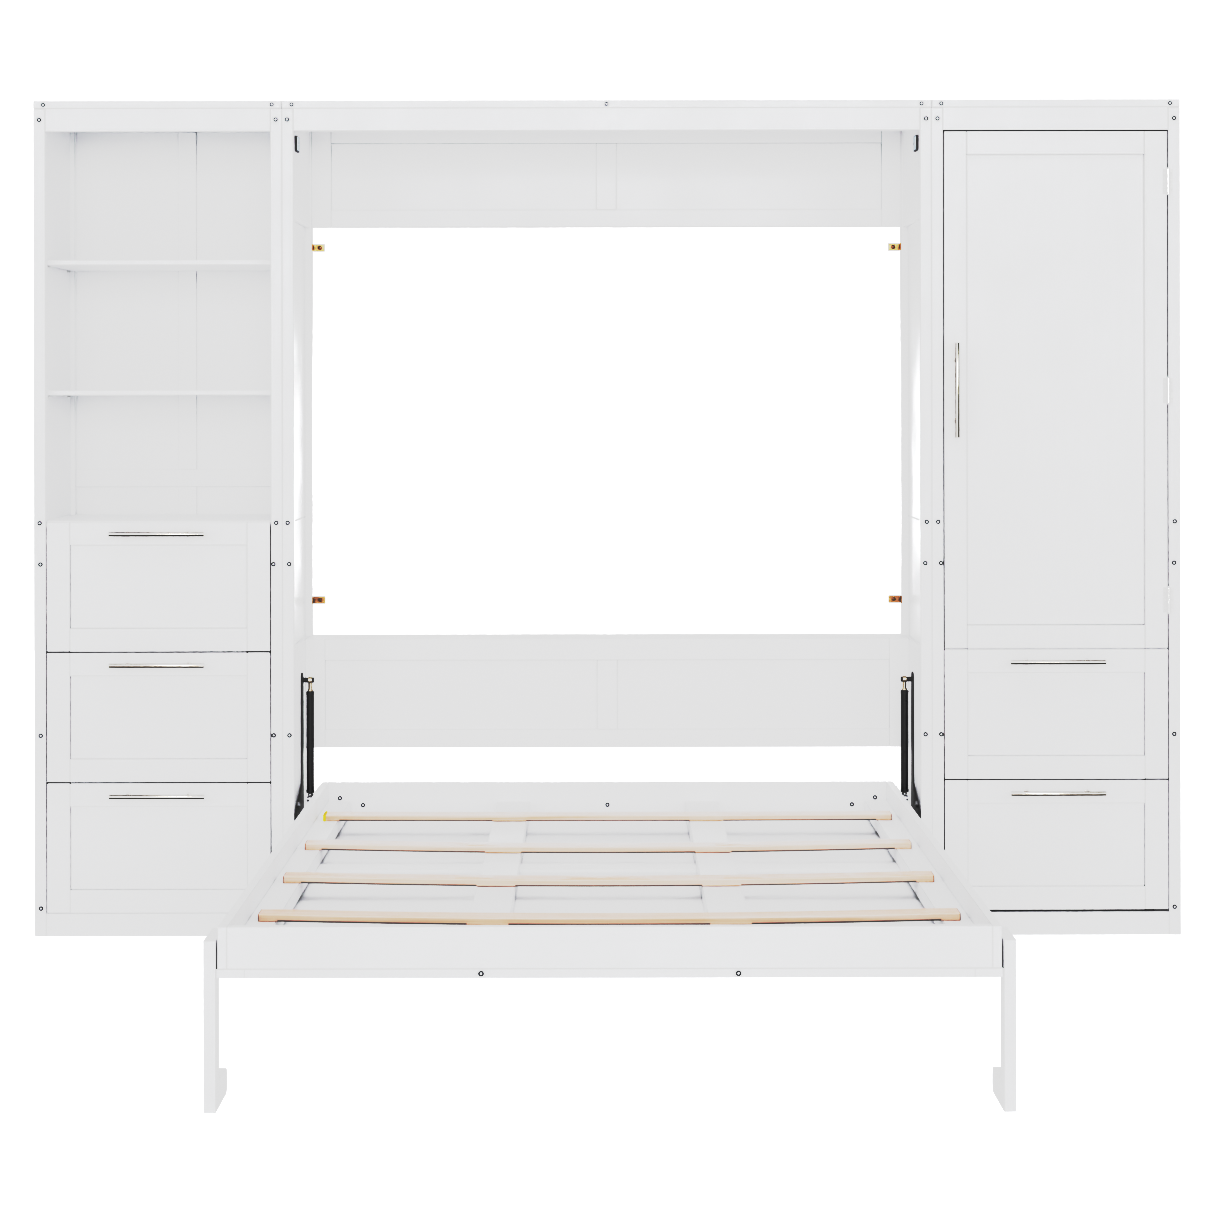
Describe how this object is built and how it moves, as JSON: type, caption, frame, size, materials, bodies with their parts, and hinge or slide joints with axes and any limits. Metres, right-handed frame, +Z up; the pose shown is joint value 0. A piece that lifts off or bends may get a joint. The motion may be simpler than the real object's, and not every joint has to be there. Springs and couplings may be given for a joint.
{
  "type": "wall bed",
  "caption": "Fold-down wall bed in an open frame between a tower of open shelves over drawers and a tower with a tall hinged door over drawers.",
  "frame": {"origin": "centre of the bounding box on the floor, at rest with the bed down", "axes": "+X across the suite to the viewer's right, -Y out into the room, +Z up"},
  "size_m": [3.025, 2.253, 2.205],
  "materials": {
    "white_paint": "satin white paint on wood",
    "pine": "clear-finished laminated softwood",
    "brushed_steel": "brushed, satin",
    "zinc": "bright zinc plate",
    "yellow_zinc": "yellow zinc plate",
    "black_steel": "black powder coat",
    "white_metal": "white enamel"
  },
  "bodies": {
    "cabinet": {"left_tower_frame": "white_paint", "left_tower_sides": "white_paint", "left_tower_top": "white_paint", "left_tower_back": "white_paint", "left_fixed_shelf": "white_paint", "left_loose_shelves": "white_paint", "left_drawer_runners": "zinc", "right_tower_frame": "white_paint", "right_tower_sides": "white_paint", "right_tower_top": "white_paint", "right_tower_back": "white_paint", "right_fixed_shelf": "white_paint", "hanging_rail": "brushed_steel", "right_drawer_runners": "zinc", "centre_frame": "white_paint", "centre_sides": "white_paint", "centre_top": "white_paint", "upper_back_panel": "white_paint", "headboard": "white_paint", "headboard_ledge": "white_paint", "wall_brackets": "yellow_zinc", "catch_plates": "black_steel", "pivot_plates": "black_steel", "frame_bolts": "zinc", "door_hinge_fixed": "white_metal"},
    "bed": {"bed_face_frame": "white_paint", "bed_face_panels": "white_paint", "bed_side_rails": "white_paint", "bed_head_rail": "white_paint", "bed_foot_rail": "white_paint", "bed_ledgers": "white_paint", "bed_centre_boards": "white_paint", "bed_slats": "pine", "bed_hinge_arms": "black_steel", "bed_bolts": "zinc"},
    "left_leg": {"leg_left": "white_paint"},
    "right_leg": {"leg_right": "white_paint"},
    "left_strut_tube": {"strut_tube_left": "black_steel"},
    "left_strut_rod": {"strut_rod_left": "zinc"},
    "right_strut_tube": {"strut_tube_right": "black_steel"},
    "right_strut_rod": {"strut_rod_right": "zinc"},
    "left_drawer_top": {"left_drawer_top_front": "white_paint", "left_drawer_top_box": "white_paint", "left_drawer_top_handle": "brushed_steel"},
    "left_drawer_middle": {"left_drawer_middle_front": "white_paint", "left_drawer_middle_box": "white_paint", "left_drawer_middle_handle": "brushed_steel"},
    "left_drawer_bottom": {"left_drawer_bottom_front": "white_paint", "left_drawer_bottom_box": "white_paint", "left_drawer_bottom_handle": "brushed_steel"},
    "right_drawer_top": {"right_drawer_top_front": "white_paint", "right_drawer_top_box": "white_paint", "right_drawer_top_handle": "brushed_steel"},
    "right_drawer_bottom": {"right_drawer_bottom_front": "white_paint", "right_drawer_bottom_box": "white_paint", "right_drawer_bottom_handle": "brushed_steel"},
    "wardrobe_door": {"door": "white_paint", "door_handle": "brushed_steel", "door_hinge_moving": "white_metal"}
  },
  "joints": [
    {"name": "bed_tilt", "type": "hinge", "parent": "cabinet", "child": "bed", "pos_m": [0, 0.706, 0.2905], "axis": [-1, 0, 0], "range_deg": [0, 90]},
    {"name": "left_leg_fold", "type": "hinge", "parent": "bed", "child": "left_leg", "pos_m": [-0.796, -1.0845, 0.309], "axis": [1, 0, 0], "range_deg": [0, 90]},
    {"name": "right_leg_fold", "type": "hinge", "parent": "bed", "child": "right_leg", "pos_m": [0.796, -1.0845, 0.309], "axis": [1, 0, 0], "range_deg": [0, 90]},
    {"name": "left_strut_swing", "type": "hinge", "parent": "cabinet", "child": "left_strut_tube", "pos_m": [-0.804, 0.8655, 0.657], "axis": [-1, 0, 0], "range_deg": [0, 12.38]},
    {"name": "left_strut_slide", "type": "slide", "parent": "left_strut_tube", "child": "left_strut_rod", "axis": [0, 0, -1], "range_m": [0, 0.21662]},
    {"name": "right_strut_swing", "type": "hinge", "parent": "cabinet", "child": "right_strut_tube", "pos_m": [0.804, 0.8655, 0.657], "axis": [-1, 0, 0], "range_deg": [0, 12.38]},
    {"name": "right_strut_slide", "type": "slide", "parent": "right_strut_tube", "child": "right_strut_rod", "axis": [0, 0, -1], "range_m": [0, 0.21662]},
    {"name": "left_drawer_top_slide", "type": "slide", "parent": "cabinet", "child": "left_drawer_top", "axis": [0, -1, 0], "range_m": [0, 0.33]},
    {"name": "left_drawer_middle_slide", "type": "slide", "parent": "cabinet", "child": "left_drawer_middle", "axis": [0, -1, 0], "range_m": [0, 0.33]},
    {"name": "left_drawer_bottom_slide", "type": "slide", "parent": "cabinet", "child": "left_drawer_bottom", "axis": [0, -1, 0], "range_m": [0, 0.33]},
    {"name": "right_drawer_top_slide", "type": "slide", "parent": "cabinet", "child": "right_drawer_top", "axis": [0, -1, 0], "range_m": [0, 0.33]},
    {"name": "right_drawer_bottom_slide", "type": "slide", "parent": "cabinet", "child": "right_drawer_bottom", "axis": [0, -1, 0], "range_m": [0, 0.33]},
    {"name": "door_swing", "type": "hinge", "parent": "cabinet", "child": "wardrobe_door", "pos_m": [1.4815, 0.6759, 1.442], "axis": [0, 0, 1], "range_deg": [0, 110]}
  ],
  "couplings": [
    {"joint": "left_strut_swing", "follows": "bed_tilt", "ratio": 0.13703},
    {"joint": "left_strut_slide", "follows": "bed_tilt", "m_per_rad": 0.13778},
    {"joint": "right_strut_swing", "follows": "bed_tilt", "ratio": 0.13703},
    {"joint": "right_strut_slide", "follows": "bed_tilt", "m_per_rad": 0.13778}
  ]
}
